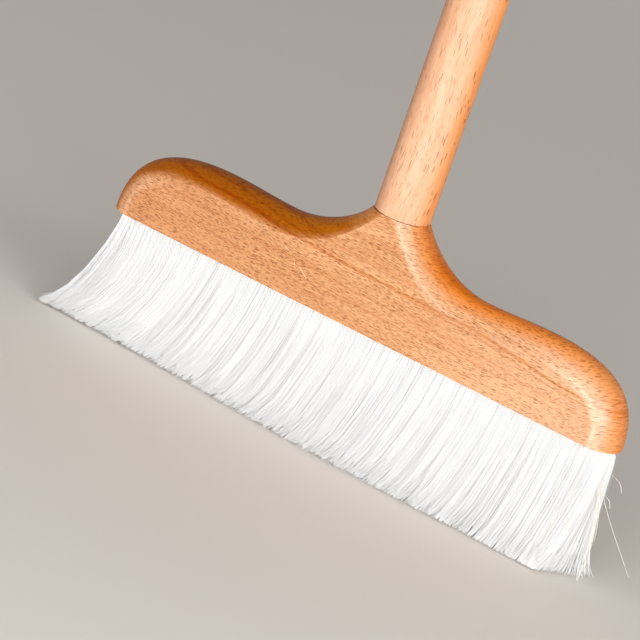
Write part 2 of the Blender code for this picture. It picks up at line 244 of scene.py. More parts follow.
# Loose hairs at the right end: cream tint, and points in millimetres from the root to the tip
STRAY_HAIRS = (
    (0.5, (134, -4, 60), (139, -2, 48), (146, 0, 35), (153, 0, 26.5), (161, 0, 18.5),
     (168.5, 0, 9.5)),
    (0.8, (135, -6, 58), (140, -7, 50), (145, -8, 40), (148, -9, 30), (150, -10, 21)),
    (0.9, (134, -6, 58), (142, -9, 46), (147, -11, 33), (149, -13, 20), (150, -14, 9),
     (151, -15, 2)),
    (0.9, (134, -5, 58), (142, -7, 45), (147, -9, 32), (150, -11, 19), (151, -12.5, 7)),
    (0.9, (134, -5, 58), (141, -6, 45), (146, -7, 32), (148, -9, 18), (150, -12, 4)),
    (0.7, (135, -6, 60), (145, -12, 56), (150, -14, 55.5), (154, -15, 54), (156.5, -16, 50.5)),
    (0.7, (135, -6, 58), (144, -12, 48), (149, -14, 46), (152, -15, 43.5), (153.5, -15, 41)),
    (1.0, (132, -9, 58), (132.2, -12.6, 50), (134.8, -14.8, 41.9), (136.2, -17.4, 33.1),
     (137.8, -20, 25), (139.5, -23, 18)),
    (0.8, (130, -9, 58), (129.5, -12.8, 48), (130, -15.6, 38), (131, -18.5, 29),
     (131.5, -21.5, 19), (131.5, -23.8, 10)),
)

# Fibre: colours, how much light goes through, and where and how much it is creamier
FIBRE_PALE = (0.970, 0.976, 0.982, 1.0)
FIBRE_DARK = (0.89, 0.905, 0.92, 1.0)
FIBRE_CREAM = (0.96, 0.90, 0.78, 1.0)
FIBRE_THROUGH = 0.2
CREAM_FROM, CREAM_RUN = 0.07, 0.08
CREAM_STRANDS, CREAM_CORE, CREAM_ODD = 0.06, 0.14, 0.4
ODD_SHARE = 0.02
# Shading normals: lean to the outside of the brush, turn to its ends, what that takes from the
# turn to the front or back, and the turn round the left end
NORMAL_LEAN = 0.6
END_TURN = (0.118, 0.02)
TURN_RIGHT, TURN_LEFT, CORE_TURN_LEFT = 0.85, 0.3, 0.4
TURN_LOSS, TURN_ROUND = 0.55, 2.6

FLOOR_HALF, FLOOR_DROP = 60.0, 0.0002
FLOOR_TONE = (229, 222, 214)
# Lights: name, place, height of the target, size, power, tone, and whether they show in the lacquer
LIGHTS = (
    ("window", (0.62, -1.90, 0.47), 0.09, (2.5, 0.62), 40.5, (1.0, 0.99, 0.98), True),
    ("key", (1.60, -0.80, 0.75), 0.07, (0.9, 0.9), 17.0, (1.0, 0.985, 0.965), True),
    ("fill", (-1.55, -1.20, 0.42), 0.07, (1.0, 0.8), 14.5, (0.98, 0.99, 1.0), False),
    ("back", (-0.30, 2.00, 0.50), 0.07, (2.5, 0.8), 6.0, (1.0, 1.0, 1.0), False),
)
WORLD_TONE = (0.95, 0.97, 1.0, 1.0)
WORLD_STRENGTH = 0.24
SHOWN_TONE = (196, 189, 180)
# Camera fitted to the photo: its place, with Z over the head's underside, its axes and its field
CAMERA_PLACE = (0.90041, -2.07651, 0.7085)
CAMERA_RIGHT = (0.82312, 0.47381, 0.31300)
CAMERA_UP = (-0.41523, 0.12620, 0.90092)
CAMERA_FIELD = math.radians(7.324)
CAMERA_CLIP = (0.1, 200.0)


# Helpers for meshes and numbers


def add_object(name, data):
    thing = bpy.data.objects.new(name, data)
    bpy.context.scene.collection.objects.link(thing)
    return thing


def mesh_piece(name, verts, faces, material, attributes=None):
    """A smooth-shaded object from points and faces, with named point attributes."""
    mesh = bpy.data.meshes.new(name)
    mesh.from_pydata([tuple(v) for v in verts], [], faces)
    mesh.update()
    for key, values in (attributes or {}).items():
        layer = mesh.attributes.new(key, "FLOAT", "POINT")
        layer.data.foreach_set("value", np.asarray(values, np.float32))
    mesh.polygons.foreach_set("use_smooth", [True] * len(mesh.polygons))
    mesh.materials.append(material)
    return add_object(name, mesh)


def soften(piece):
    """Smooth shading that keeps the large faces flat and the sharp edges sharp."""
    piece.data.set_sharp_from_angle(angle=SHARP_ANGLE)
    modifier = piece.modifiers.new("normals", "WEIGHTED_NORMAL")
    modifier.mode = "FACE_AREA"
    modifier.keep_sharp = True


def grid_faces(rows, columns, closed=False):
    """Quads of a grid of points; closed joins the last column to the first."""
    faces = []
    for row in range(rows - 1):
        for column in range(columns if closed else columns - 1):
            here, following = (row * columns + place % columns for place in (column, column + 1))
            faces.append((here, here + columns, following + columns, following))
    return faces


def tube_faces(rings, sides):
    """Faces of a tube of rings with both ends closed."""
    last = (rings - 1) * sides
    faces = grid_faces(rings, sides, closed=True)
    faces.append(tuple(range(sides)))
    faces.append(tuple(reversed(range(last, last + sides))))
    return faces


def ramp(value, start=0.0, length=1.0):
    """0 up to start, 1 from start + length on, and smooth between them."""
    share = np.clip((value - start) / length, 0.0, 1.0)
    return share * share * (3.0 - 2.0 * share)


def even_steps(start, end, count):
    return [start + (end - start) * step / count for step in range(count + 1)]


def look_up(x, rows, column=1):
    """The value in a column of a table by X."""
    return np.interp(x, rows[:, 0], rows[:, column])


def unit(vectors):
    return vectors / np.maximum(np.linalg.norm(vectors, axis=1), 1e-6)[:, None]


# Materials


class Nodes:
    """Short calls for building the nodes of a material or a world."""

    def __init__(self, owner, shader):
        owner.use_nodes = True
        self.owner = owner
        self.tree = owner.node_tree
        self.shader = self.tree.nodes[shader]

    def set(self, socket, value):
        if isinstance(value, bpy.types.NodeSocket):
            self.tree.links.new(value, socket)
        else:
            socket.default_value = value

    def fill(self, node, *values):
        """Set a node's first sockets in their order, and give its first output."""
        for socket, value in zip(node.inputs, values):
            self.set(socket, value)
        return node.outputs[0]

    def surface(self, node=None, **sockets):
        """Set sockets by name, of the shader or of another node."""
        node = node or self.shader
        for key, value in sockets.items():
            self.set(node.inputs[key.replace("_", " ")], value)
        return node

    def add(self, kind, **sockets):
        return self.surface(self.tree.nodes.new(kind), **sockets)

    def math(self, operation, *values):
        node = self.tree.nodes.new("ShaderNodeMath")
        node.operation = operation
        return self.fill(node, *values)

    def plus(self, first, second):
        return self.math("ADD", first, second)

    def minus(self, first, second):
        return self.math("SUBTRACT", first, second)

    def times(self, first, second):
        return self.math("MULTIPLY", first, second)

    def remap(self, value, low, high, new_low=0.0, new_high=1.0, smooth=True):
        node = self.tree.nodes.new("ShaderNodeMapRange")
        node.interpolation_type = "SMOOTHSTEP" if smooth else "LINEAR"
        return self.fill(node, value, low, high, new_low, new_high)

    def mix(self, factor, first, second, blend="MIX"):
        node = self.tree.nodes.new("ShaderNodeMix")
        node.data_type = "RGBA"
        node.blend_type = blend
        self.set(node.inputs[0], factor)
        self.set(node.inputs[6], first)
        self.set(node.inputs[7], second)
        return node.outputs[2]

    def tinted(self, base, tone):
        return self.mix(1.0, base, tone, "MULTIPLY")

    def attribute(self, name):
        node = self.tree.nodes.new("ShaderNodeAttribute")
        node.attribute_name = name
        return node.outputs["Fac"]

    def place(self):
        return self.add("ShaderNodeTexCoord").outputs["Object"]

    def split(self, vector):
        return self.add("ShaderNodeSeparateXYZ", Vector=vector).outputs

    def stretch(self, vector, scale, offset=(0.0, 0.0, 0.0)):
        node = self.add("ShaderNodeMapping", Vector=vector, Scale=scale, Location=offset)
        return node.outputs[0]

    def noise(self, vector, detail, rough, scale=1.0):
        return self.add(
            "ShaderNodeTexNoise", Vector=vector, Scale=scale, Detail=detail, Roughness=rough
        ).outputs


def new_material(name):
    return Nodes(bpy.data.materials.new(name), "Principled BSDF")


def colour(*parts):
    """A linear colour from sRGB numbers of 0 to 255."""
    shares = (part / 255.0 for part in parts)
    linear = (s / 12.92 if s <= 0.04045 else ((s + 0.055) / 1.055) ** 2.4 for s in shares)
    return (*linear, 1.0)


def beech(name, along, tones, fleck_sizes, growth, offset):
    """Lacquered beech: along is the axis of the grain, 0 for X and 2 for Z."""
    n = new_material(name)
    tone, tone_dark, tone_light = (colour(*each) for each in tones)
    place = n.place()
    # a slow bend in the grain
    sway = n.noise(place, 1.0, 0.4, scale=9.0)["Color"]
    bend = n.add("ShaderNodeVectorMath")
    bend.operation = "MULTIPLY_ADD"
    grain = n.fill(bend, sway, (GRAIN_SWAY,) * 3, place)
    if along == 0:
        # the grain climbs towards the right end
        x, y, z = n.split(grain)
        past = n.math("MAXIMUM", n.minus(x, CLIMB_FROM), 0.0)
        climb = n.times(n.times(past, past), CLIMB)
        grain = n.add("ShaderNodeCombineXYZ", X=x, Y=y, Z=n.minus(z, climb)).outputs[0]

    def scaled(length, across, shift, deep=None):
        scale = [1.0 / across] * 3
        scale[along] = 1.0 / length
        scale[1] = 1.0 / (deep or across)
        return n.stretch(grain, tuple(scale), tuple(part + shift for part in offset))

    # broad soft tone bands and faint growth lines
    broad = n.noise(scaled(0.085, 0.011, 1.7), 2.0, 0.55)["Fac"]
    bands = n.noise(scaled(0.20, 0.0042, 5.1), 2.0, 0.5)["Fac"]
    lines = n.noise(scaled(0.16, 0.0013, 8.3), 1.0, 0.4)["Fac"]
    tone_mix = n.plus(n.times(broad, 0.6), n.times(bands, 0.4))
    base = n.mix(n.remap(tone_mix, 0.36, 0.64), tone_dark, tone_light)
    base = n.mix(0.5, base, tone)
    base = n.mix(n.remap(lines, 0.53, 0.62, 0.0, growth), base, tone_dark)
    # fine fibres
    fibre = n.noise(scaled(0.010, 0.00045, 2.2), 2.0, 0.6)["Fac"]
    base = n.mix(n.remap(fibre, 0.45, 0.66, 0.0, 0.5), base, tone_light)
    base = n.mix(n.remap(fibre, 0.34, 0.48, 0.45, 0.0), base, tone_dark)
    # short dark ray flecks in two sizes
    marks = []
    for length, across, shift, wide in fleck_sizes:
        spots = scaled(length, across, shift, FLECK_DEPTH)
        cell = n.add("ShaderNodeTexVoronoi", Vector=spots, Scale=1.0, Randomness=0.85).outputs
        close = n.remap(cell["Distance"], wide * 0.82, wide * 1.18, 1.0, 0.0)
        pick = n.add("ShaderNodeSeparateColor", Color=cell["Color"]).outputs[0]
        marks.append(n.times(close, n.remap(pick, 0.0, 0.9, 0.4, 1.0, smooth=False)))
    thinner = n.noise(scaled(0.03, 0.008, 9.9), 1.0, 0.5)["Fac"]
    patch = n.remap(thinner, 0.3, 0.65, 0.75, 1.0)
    return n, place, base, n.times(n.math("MAXIMUM", *marks), patch), fibre


def finish_beech(n, base, flecks, fleck, fibre, roughness):
    """Flecks over the base colour, roughness between two levels along the fibres, fine relief."""
    height = n.minus(n.times(fibre, 0.25), flecks)
    n.surface(
        Base_Color=n.mix(flecks, base, n.tinted(base, fleck)),
        Roughness=n.remap(fibre, 0.3, 0.8, *roughness, smooth=False),
        Normal=n.add("ShaderNodeBump", Strength=0.18, Distance=0.00012, Height=height).outputs[0],
    )
    return n.owner


def scuff_marks(n, place):
    """1 on the scuffs and 0 elsewhere."""
    x, y, z = n.split(place)
    marks = 0.0
    for middle_x, middle_z, half_length, half_width, turn in SCUFFS:
        cosine, sine = math.cos(math.radians(turn)), math.sin(math.radians(turn))
        dx, dz = n.minus(x, middle_x), n.minus(z, middle_z)
        run = n.plus(n.times(dx, cosine / half_length), n.times(dz, sine / half_length))
        off = n.minus(n.times(dz, cosine / half_width), n.times(dx, sine / half_width))
        reach = n.math("SQRT", n.plus(n.times(run, run), n.times(off, off)))
        marks = n.math("MAXIMUM", marks, n.remap(reach, 0.35, 1.0, 1.0, 0.0))
    return n.times(marks, n.math("LESS_THAN", y, 0.0))


def growth_marks(n, place):
    """Strength of the growth lines, which wander a little."""
    wander = n.noise(n.stretch(place, (26.0, 26.0, 26.0), (3.7, 1.1, 0.4)), 1.0, 0.4)["Fac"]
    x, _, z = n.split(place)
    z = n.plus(z, n.times(n.minus(wander, 0.5), GROWTH_WANDER))
    square = n.times(x, n.math("ABSOLUTE", x))
    marks = 0.0
    for height, slope, curve, half_width, strength in GROWTH_LINES:
        line = n.plus(n.times(x, slope), n.times(square, curve))
        off = n.math("ABSOLUTE", n.minus(n.minus(z, height), line))
        near = n.remap(off, half_width * 0.2, half_width, strength, 0.0)
        marks = n.math("MAXIMUM", marks, near)
    return marks


def head_beech():
    n, place, base, flecks, fibre = beech(
        "beech_head", 0, HEAD_TONES, HEAD_FLECKS, growth=0.55, offset=(0.0, 0.0, 0.0)
    )
    # painted light, paler to the right, and painted shade, darker to the left, and the growth lines
    x, y, _ = n.split(place)
    base = n.mix(n.times(n.remap(x, 0.0, 0.13), 0.42), base, colour(228, 184, 150))
    base = n.mix(n.times(n.remap(n.times(x, -1.0), 0.0, 0.12), 0.45), base, colour(190, 126, 80))
    base = n.mix(growth_marks(n, place), base, n.tinted(base, (0.80, 0.57, 0.34, 1.0)))
    # amber lacquer tone on the rounded edge, with painted shade: darker left of the neck and along
    # the rounding's middle
    rim_amber_and_shade = n.attribute("rim")
    tone = n.mix(n.remap(x, -0.010, 0.014), SHADED_AMBER_LEFT, AMBER_RIGHT)
    middle = n.times(n.remap(n.math("ABSOLUTE", y), 0.0015, 0.0070, 1.0, 0.0), 0.65)
    tone = n.mix(middle, tone, n.tinted(tone, SHADED_AMBER_MIDDLE))
    base = n.mix(rim_amber_and_shade, base, n.tinted(base, tone))
    # painted highlight along the crease, and pale scuffs
    base = n.mix(n.times(n.attribute("crease"), 0.70), base, colour(242, 210, 182))
    base = n.mix(n.times(scuff_marks(n, place), 0.6), base, colour(244, 214, 186))
    n.surface(
        Specular_IOR_Level=0.05, Coat_Roughness=0.32,
        Coat_Weight=n.remap(rim_amber_and_shade, 0.0, 0.5, 0.9, 0.08, smooth=False),
    )
    faint = n.times(flecks, n.remap(rim_amber_and_shade, 0.0, 1.0, 1.0, 0.6, smooth=False))
    faint = n.times(faint, n.remap(x, -0.10, 0.0, 1.3, 1.0))
    return finish_beech(n, base, faint, (0.42, 0.29, 0.17, 1.0), fibre, (0.34, 0.46))


def handle_beech():
    n, place, base, flecks, fibre = beech(
        "beech_handle", 2, HANDLE_TONES, HANDLE_FLECKS, growth=0.4, offset=(0.31, 0.17, 0.0)
    )
    # painted highlight on the side that faces the front, with painted shade on the left side and
    # painted light on the right side next to it
    x, y, _ = n.split(place)
    highlight_x, highlight_y = (part / HANDLE_RADIUS for part in HIGHLIGHT_SIDE)
    facing = n.plus(n.times(x, highlight_x), n.times(y, highlight_y))
    turned = n.plus(n.times(x, -highlight_y), n.times(y, highlight_x))
    lit_and_shaded = n.tinted(base, n.mix(n.remap(turned, -0.6, 0.6), SHADE_LEFT_TONE, LIGHT_RIGHT_TONE))
    base = n.mix(n.remap(facing, 0.15, 1.0), lit_and_shaded, n.tinted(base, HIGHLIGHT_TONE))
    n.surface(Coat_Weight=0.9, Coat_Roughness=0.45)
    return finish_beech(n, base, flecks, (0.34, 0.21, 0.11, 1.0), fibre, (0.36, 0.46))


def metal(name, tone, roughness):
    n = new_material(name)
    place = n.place()
    blotch = n.noise(n.stretch(place, (900.0, 900.0, 900.0)), 3.0, 0.6)["Fac"]
    turned = n.noise(n.stretch(place, (200.0, 200.0, 9000.0)), 2.0, 0.5)["Fac"]
    dark = (*(part * 0.72 for part in tone[:3]), 1.0)
    n.surface(
        Base_Color=n.mix(n.remap(blotch, 0.35, 0.7), tone, dark), Metallic=1.0,
        Roughness=n.remap(turned, 0.3, 0.7, roughness - 0.08, roughness + 0.1),
        Normal=n.add("ShaderNodeBump", Strength=0.12, Distance=0.00005, Height=turned).outputs[0],
    )
    return n.owner


def bristle_fibre():
    n = new_material("white_bristle")
    tint = n.remap(n.attribute("tint"), 0.0, 1.0, smooth=False)
    base = n.mix(n.attribute("cream"), n.mix(tint, FIBRE_PALE, FIBRE_DARK), FIBRE_CREAM)
    rough = n.remap(n.attribute("along"), 0.0, 1.0, 0.5, 0.62, smooth=False)
    n.surface(Base_Color=base, Roughness=rough, Sheen_Weight=0.1)
    through = n.add("ShaderNodeBsdfTranslucent", Color=base).outputs[0]
    both = n.fill(n.add("ShaderNodeMixShader"), FIBRE_THROUGH, n.shader.outputs[0], through)
    n.set(n.tree.nodes["Material Output"].inputs["Surface"], both)
    return n.owner


def floor_material():
    n = new_material("pale_floor")
    n.surface(Base_Color=colour(*FLOOR_TONE), Roughness=0.8, Specular_IOR_Level=0.2)
    return n.owner


# Head


def bezier(ends, share):
    """Point and direction at a share of a cubic curve."""
    a, b, c, d = ends
    rest = 1.0 - share
    point = a * rest**3 + b * 3 * rest**2 * share + c * 3 * rest * share**2 + d * share**3
    direction = (b - a) * rest**2 + (c - b) * 2 * rest * share + (d - c) * share**2
    return point, direction.normalized()


def outline_stations():
    """Along the right half of the outline: point, way into the wood, edge's depth and rounding."""
    shoulder_z = UNDERSIDE_Z + SHOULDER_HEIGHT
    neck = Vector((HANDLE_RADIUS, JOINT_Z))
    dip = Vector((HANDLE_RADIUS + NECK_FILLET_REACH, shoulder_z - SHOULDER_DIP))
    crest = Vector((HALF_LENGTH - CREST_INSET, shoulder_z))
    tip = Vector((HALF_LENGTH, UNDERSIDE_Z))
    along = Vector((1.0, 0.0))
    down = Vector((0.0, -1.0))
    flare = Vector((math.sin(NECK_FLARE_ANGLE), -math.cos(NECK_FLARE_ANGLE)))
    fillet_pull = NECK_CURVE_SHARE * NECK_FILLET_REACH
    shoulder_pull = SHOULDER_CURVE_SHARE * (crest.x - dip.x)
    curves = (
        (neck, neck + flare * fillet_pull, dip - along * fillet_pull, dip),
        (dip, dip + along * shoulder_pull, crest - along * shoulder_pull, crest),
        (crest, crest + along * END_CURVE_SHARE * CREST_INSET,
         tip - down * END_CURVE_SHARE * SHOULDER_HEIGHT, tip),
    )
    neck_inset = HANDLE_RADIUS - NECK_FLAT_WIDTH / 2
    stations = []
    for number, (curve, steps) in enumerate(zip(curves, OUTLINE_STEPS)):
        for step in range(0 if number == 0 else 1, steps + 1):
            share = step / steps
            point, direction = bezier(curve, share)
            blend = float(ramp(share)) if number == 0 else 1.0
            inward = Vector((direction.y, -direction.x))
            inward = Vector((-1.0, 0.0)).lerp(inward, blend).normalized()
            rounding = CREASE_RADIUS
            if number == 0:
                left = 1 - float(ramp(share, *NECK_ROUNDING))
                rounding += (CREASE_RADIUS_NECK - CREASE_RADIUS) * left
            if number == 2:
                done = float(ramp(share, *END_ROUNDING))
                rounding += (CREASE_RADIUS_END - CREASE_RADIUS) * done
            inset = neck_inset + (EDGE_INSET - neck_inset) * blend
            stations.append((point, inward, inset, rounding))
    return stations


def edge_section(inset, rounding):
    """Across the edge from front to back: depth into the wood, Y, share of the painted crease
    highlight and rim share.
    """
    radius = (inset**2 + HALF_THICKNESS**2) / (2 * inset)
    centre_y = HALF_THICKNESS - rounding
    centre = radius - math.sqrt((radius - rounding) ** 2 - centre_y**2)
    tangent = math.atan2(centre_y, radius - centre)
    half = [(centre + depth, HALF_THICKNESS, crease, 0.0) for depth, crease in FLAT_BAND]
    for step in range(CREASE_STEPS + 1):
        share = step / CREASE_STEPS
        angle = math.pi / 2 + (tangent - math.pi / 2) * share
        cosine, sine = math.cos(angle), math.sin(angle)
        painted_highlight = 1.0 - (1.0 - HIGHLIGHT_AT_ARC) * share
        half.append((centre - rounding * cosine, centre_y + rounding * sine, painted_highlight, cosine))
    for step in range(1, ARC_STEPS // 2 + 1):
        share = step / (ARC_STEPS // 2)
        angle = tangent * (1 - share)
        cosine, sine = math.cos(angle), math.sin(angle)
        painted_highlight = HIGHLIGHT_AT_ARC * max(0.0, 1.0 - share * HIGHLIGHT_FADE)
        half.append((radius * (1 - cosine), radius * sine, painted_highlight, cosine))
    front = [(depth, -y, crease, rim) for depth, y, crease, rim in half]
    return front + list(reversed(half))[1:]


def cylinder_cutters(name, places, radius, low, high, sides):
    """One object with a closed cylinder at each place."""
    verts, faces = [], []
    for x, y in places:
        first = len(verts)
        second = first + sides
        for z in (low, high):
            for number in range(sides):
                angle = math.tau * number / sides
                verts.append((x + radius * math.cos(angle), y + radius * math.sin(angle), z))
        for number in range(sides):
            following = (number + 1) % sides
            faces.append((first + number, first + following, second + following, second + number))
        faces.append(tuple(reversed(range(first, second))))
        faces.append(tuple(range(second, second + sides)))
    mesh = bpy.data.meshes.new(name)
    mesh.from_pydata(verts, [], faces)
    return add_object(name, mesh)


def tuft_places():
    """X and Y of the front and of the back tufts, and their pitch."""
    last_x = HALF_LENGTH - END_WALL - HOLE_RADIUS
    pitch = 2 * last_x / (FRONT_TUFTS - 1)
    front = [(-last_x + pitch * number, -ROW_Y) for number in range(FRONT_TUFTS)]
    return front, [(x + pitch / 2, ROW_Y) for x, _ in front[:-1]], pitch


def uncut_head(material):
    """The head without its holes, with its painted crease highlight and its rim's amber tone and
    painted shade as attributes.
    """
    stations = outline_stations()
    loop = [(-1.0, *station) for station in reversed(stations)]
    loop += [(1.0, *station) for station in stations]
    verts, crease, rim = [], [], []
    for side, point, inward, inset, rounding in loop:
        section = edge_section(inset, rounding)
        tables = (AMBER_AND_SHADE_BY_X, CREASE_HIGHLIGHT_BY_X, RIM_START_BY_X)
        amber, highlight_by_x, start = (float(look_up(side * point.x, rows)) for rows in tables)
        span = RIM_SPAN_RIGHT
        if side < 0:
            span = RIM_SPAN_LEFT + RIM_SPAN_MORE * float(ramp(-point.x, *RIM_SPAN_PLACE))
        for depth, y, crease_share, rim_share in section:
            verts.append((side * (point.x + inward.x * depth), y, point.y + inward.y * depth))
            # painted highlight along the crease, by X
            crease.append(crease_share * highlight_by_x)
            # amber lacquer tone and painted shade on the rounded edge
            rim.append(min(1.0, max(0.0, (rim_share - start) / span)) * amber)
    rows, columns = len(loop), len(section)
    half = rows // 2
    faces = [
        tuple(reversed(face)) for number, face in enumerate(grid_faces(rows, columns))
        if number // (columns - 1) != half - 1
    ]
    # the front, the back, the neck's top and the underside
    faces.append(tuple(row * columns for row in range(rows)))
    faces.append(tuple(row * columns + columns - 1 for row in reversed(range(rows))))
    left_top, right_top, last = ((row * columns) for row in (half - 1, half, rows - 1))
    top = (*range(left_top, right_top), *reversed(range(right_top, right_top + columns)))
    faces.append(tuple(reversed(top)))
    faces.append((*range(columns), *reversed(range(last, last + columns))))
    return mesh_piece("head_visual", verts, faces, material, {"crease": crease, "rim": rim})


def make_head(material):
    piece = uncut_head(material)
    front, back, _ = tuft_places()
    cutters = (
        cylinder_cutters(
            "tuft_hole_cutter", front + back, HOLE_RADIUS,
            UNDERSIDE_Z - CUT_OVERRUN, UNDERSIDE_Z + HOLE_DEPTH, HOLE_SIDES,
        ),
        cylinder_cutters(
            "bore_cutter", [(0.0, 0.0)], BORE_RADIUS,
            INSERT_LOW.z - GAP, JOINT_Z + CUT_OVERRUN, BORE_SIDES,
        ),
    )
    for cutter in cutters:
        modifier = piece.modifiers.new(cutter.name, "BOOLEAN")
        modifier.operation = "DIFFERENCE"
        modifier.solver = "EXACT"
        modifier.object = cutter
    graph = bpy.context.evaluated_depsgraph_get()
    cut_mesh = bpy.data.meshes.new_from_object(piece.evaluated_get(graph))
    piece.modifiers.clear()
    piece.data = cut_mesh
    for cutter in cutters:
        bpy.data.objects.remove(cutter)
    for vertex in cut_mesh.vertices:
        if vertex.co.z > JOINT_Z - TINY:
            broken = float(ramp(-vertex.co.x, *NECK_BREAK_PLACE))
            vertex.co.z += NECK_CLOSE * (1 - broken) - NECK_BREAK * broken
    soften(piece)
    return piece


# Turned and threaded pieces


def ringed_piece(name, rings, sides, material, ends=None):
    """A solid from rings of (z, radius or its function of angle and z). ends are the heights of the
    points that close it; without them the last ring is joined to the first."""
    angles = np.arange(sides) * math.tau / sides
    verts = []
    for z, radius in rings:
        radii = radius(angles, z) if callable(radius) else [radius] * sides
        verts += [(r * math.cos(a), r * math.sin(a), z) for r, a in zip(radii, angles)]
    faces = grid_faces(len(rings), sides, closed=True)
    last_ring, first_end = (len(rings) - 1) * sides, len(verts)
    for number in range(sides):
        following = (number + 1) % sides
        if ends:
            faces.append((first_end, number, following))
            faces.append((first_end + 1, last_ring + following, last_ring + number))
        else:
            faces.append((last_ring + number, number, following, last_ring + following))
    verts += [(0.0, 0.0, z) for z in ends or ()]
    piece = mesh_piece(name, verts, faces, material)
    piece.data.set_sharp_from_angle(angle=THREAD_SHARP_ANGLE)
    return piece


def make_handle(material):
    foot, top = HANDLE_LOW.z, HANDLE_HIGH.z
    low, high = foot + HANDLE_CHAMFER, top - HANDLE_ROUNDING
    rings = [(top - TINY, TOP_RING)]
    for step in range(ROUNDING_STEPS + 1):
        angle = math.pi / 2 * step / ROUNDING_STEPS
        radius = HANDLE_RADIUS - HANDLE_ROUNDING * (1 - math.sin(angle))
        rings.append((top - HANDLE_ROUNDING * (1 - math.cos(angle)), radius))
    rings += [(z, HANDLE_RADIUS) for z in even_steps(high, low, HANDLE_RINGS)[1:-1]]
    for step in range(CHAMFER_STEPS + 1):
        angle = math.pi / 2 * step / CHAMFER_STEPS
        radius = HANDLE_RADIUS - HANDLE_CHAMFER * (1 - math.cos(angle))
        rings.append((low - HANDLE_CHAMFER * math.sin(angle), radius))
    bore_top = STUD_HIGH.z + GAP
    rings += [(foot, HANDLE_BORE), (bore_top - HANDLE_BORE / 2, HANDLE_BORE)]
    piece = ringed_piece("handle_visual", rings, HANDLE_SIDES, material, (top, bore_top))
    soften(piece)
    return piece


def thread_wave(phase):
    """Height of a machine thread from 0 in the root to 1 on the crest, over one pitch."""
    wave = np.abs((phase % 1.0) * 2.0 - 1.0)
    return np.clip((wave - 0.2) / 0.6, 0.0, 1.0)


def thread_ridge(phase, steepness):
    """Height of a lone sharp ridge from 0 to 1, over one pitch."""
    return np.clip(1 - np.abs((phase % 1.0) - 0.5) * steepness, 0.0, 1.0)


def make_stud(material):
    low, high = STUD_LOW.z, STUD_HIGH.z
    collar_low, collar_high = JOINT_Z - COLLAR_BELOW, JOINT_Z + GAP + COLLAR_ABOVE
    point_low = high - WOOD_POINT

    def machine(angles, z):
        phase = (z - low) / THREAD_PITCH - angles / math.tau
        radii = THREAD_CREST - THREAD_DEPTH * (1 - thread_wave(phase))
        return np.minimum(radii, THREAD_CREST - STUD_CHAMFER + (z - low))

    def wood(angles, z):
        phase = (z - collar_high) / WOOD_PITCH - angles / math.tau
        taper = np.clip((high - z) / (high - point_low), 0.02, 1.0)
        return (WOOD_ROOT + (WOOD_CREST - WOOD_ROOT) * thread_ridge(phase, 5.0)) * taper

    rings = [(z, wood) for z in even_steps(high, collar_high, WOOD_RINGS)[:-1]]
    rings += [(collar_high, wood), (collar_high - TINY, THREAD_CREST), (collar_low, THREAD_CREST)]
    steps = int((collar_low - low) / THREAD_PITCH * THREAD_RINGS)
    rings += [(z, machine) for z in even_steps(collar_low, low, steps)[1:]]
    return ringed_piece("stud_visual", rings, STUD_SIDES, material, (high, rings[-1][0]))


def make_insert(material):
    low, high = INSERT_LOW.z, INSERT_HIGH.z
    stud_low = STUD_LOW.z
    outer, root = INSERT_HIGH.x, INSERT_HIGH.x - INSERT_DEPTH

    def outside(angles, z):
        phase = (z - low) / INSERT_PITCH - angles / math.tau
        near_end = np.clip(np.minimum(high - z, z - low) / INSERT_FADE, 0.0, 1.0)
        return root + (outer - root) * thread_ridge(phase, 4.0) * near_end

    def inside(angles, z):
        phase = (z - stud_low) / THREAD_PITCH - angles / math.tau
        radii = THREAD_CREST + THREAD_CLEARANCE - THREAD_DEPTH * (1 - thread_wave(phase))
        flare = np.clip((z - (high - INSERT_MOUTH)) / INSERT_MOUTH, 0.0, 1.0)
        return np.maximum(radii, INSERT_INSIDE + flare * INSERT_FLARE)

    rings = [(z, outside) for z in even_steps(high, low, RINGS_OUTSIDE)]
    rings += [(z, inside) for z in even_steps(low, high, RINGS_INSIDE)]
    return ringed_piece("insert_visual", rings, INSERT_SIDES, material)


# Bristles


def even_places(count, rng):
    """Evenly scattered places in the square from -1 to 1, with a little disorder."""
    number = np.arange(count) + rng.uniform(0, 100)
    a = (number * 0.7548776662) % 1.0
    b = (number * 0.5698402910) % 1.0
    a = np.clip(a + rng.normal(0, 0.03, count), 0, 1)
    b = np.clip(b + rng.normal(0, 0.012, count), 0, 1)
    return a * 2 - 1, b * 2 - 1


def stray_paths():
    """Smooth paths of the loose hairs, and their tints."""
    paths, tints = [], []
    shares = np.linspace(0, 1, len(STRAND_LEVELS))
    for tint, *points in STRAY_HAIRS:
        points = np.array(points, float) * 0.001
        knots = np.linspace(0, 1, len(points))
        curves = [np.polyval(np.polyfit(knots, column, 3), shares) for column in points.T]
        paths.append(np.stack(curves, 1))
        tints.append(tint)
    return np.array(paths), np.array(tints)


def fine_locks(x, y):
    """The lock that strands at x and y join: its middle in X and in Y, shortness and splay."""
    row = np.floor(y / LOCK_DEPTH + 0.5 * np.sin(x * 900.0))
    column = np.floor(x / LOCK_WIDTH + 0.37 * row)
    chance = np.modf(np.abs(np.sin(column * 12.9898 + row * 78.233)) * 43758.5453)[0]
    middle = (column + 0.3 + 0.4 * chance - 0.37 * row) * LOCK_WIDTH
    splay = np.modf(chance * 977.13)[0] ** 2.2 * SPLAY_MOST
    return middle, (row + 0.5) * LOCK_DEPTH, LOCK_SHORTNESS * chance**2, splay


def creamy(x):
    """How creamy the fibre is by X, from 0 to 1."""
    return np.clip((x - CREAM_FROM) / CREAM_RUN, 0, 1)


class Tuft:
    """Place of a tuft, its row, which end of the head it is at, and its number of strands."""

    def __init__(self, x, y, pitch):
        self.x, self.y, self.pitch = x, y, pitch
        self.front = y < 0
        outermost = HALF_LENGTH - abs(x) < END_WALL + HOLE_RADIUS + pitch * 0.7
        self.side = math.copysign(1.0, x) if outermost else 0.0
        self.strands = END_STRANDS if outermost else STRANDS


